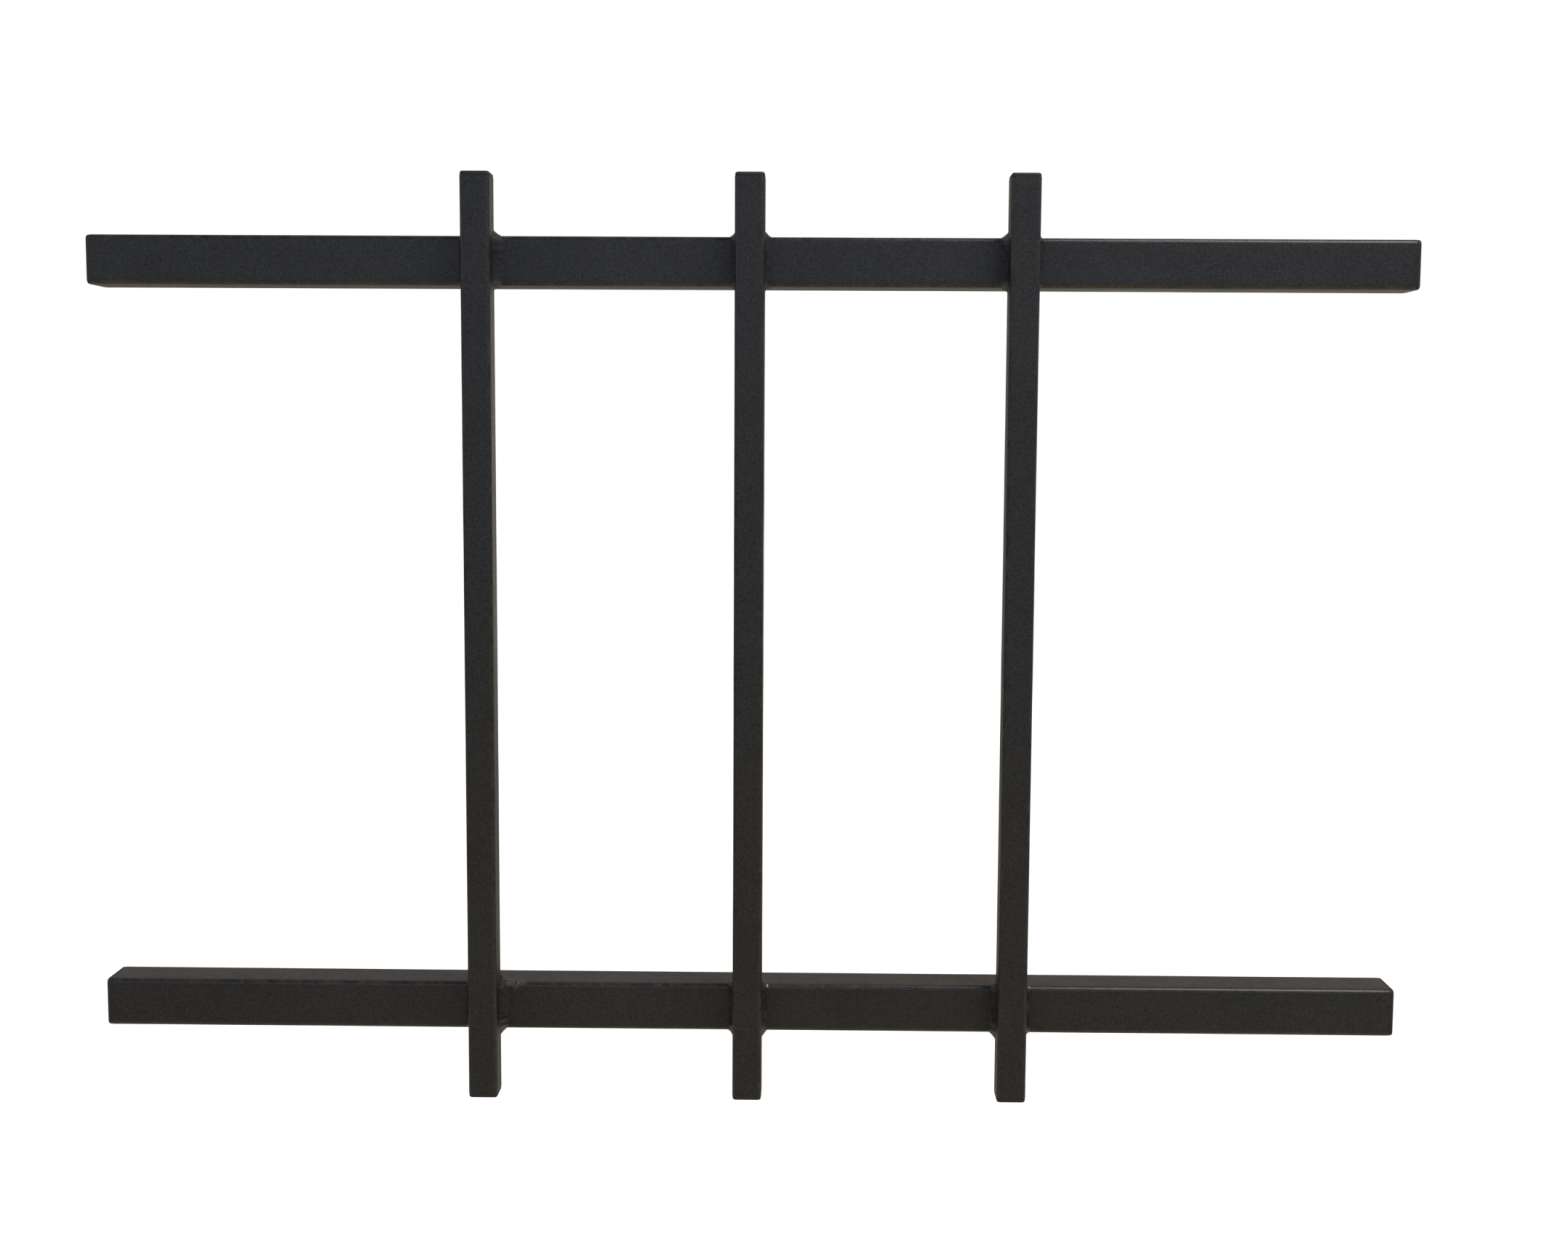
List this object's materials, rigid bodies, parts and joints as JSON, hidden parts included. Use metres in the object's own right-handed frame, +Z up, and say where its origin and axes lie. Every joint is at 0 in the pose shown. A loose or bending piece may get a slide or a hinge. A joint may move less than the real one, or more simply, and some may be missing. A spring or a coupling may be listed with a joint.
{
  "type": "window security bar",
  "caption": "Fixed welded window security grille: upright square bars on two long horizontal square-tube rails, black powder-coated, with plastic caps in the tube ends.",
  "frame": {"origin": "on the plane of the rails' back faces, which lie against the wall or window frame, midway between the two rails and midway along them", "axes": "+X to the right along the rails as seen from the front, +Y from the grille towards the wall, +Z up along the bars; the front faces -Y"},
  "size_m": [0.67, 0.04, 0.47],
  "materials": {
    "rail_powder_coat": "satin",
    "bar_powder_coat": "satin",
    "weld_powder_coat": "satin",
    "end_cap_plastic": "satin"
  },
  "bodies": {
    "root": {"top_rail": "rail_powder_coat", "bottom_rail": "rail_powder_coat", "left_bar": "bar_powder_coat", "middle_bar": "bar_powder_coat", "right_bar": "bar_powder_coat", "top_rail_left_cap": "end_cap_plastic", "top_rail_right_cap": "end_cap_plastic", "bottom_rail_left_cap": "end_cap_plastic", "bottom_rail_right_cap": "end_cap_plastic", "left_bar_top_cap": "end_cap_plastic", "left_bar_bottom_cap": "end_cap_plastic", "middle_bar_top_cap": "end_cap_plastic", "middle_bar_bottom_cap": "end_cap_plastic", "right_bar_top_cap": "end_cap_plastic", "right_bar_bottom_cap": "end_cap_plastic", "left_bar_top_weld_left": "weld_powder_coat", "left_bar_top_weld_right": "weld_powder_coat", "middle_bar_top_weld_left": "weld_powder_coat", "middle_bar_top_weld_right": "weld_powder_coat", "right_bar_top_weld_left": "weld_powder_coat", "right_bar_top_weld_right": "weld_powder_coat", "left_bar_bottom_weld_left": "weld_powder_coat", "left_bar_bottom_weld_right": "weld_powder_coat", "middle_bar_bottom_weld_left": "weld_powder_coat", "middle_bar_bottom_weld_right": "weld_powder_coat", "right_bar_bottom_weld_left": "weld_powder_coat", "right_bar_bottom_weld_right": "weld_powder_coat"}
  },
  "joints": []
}
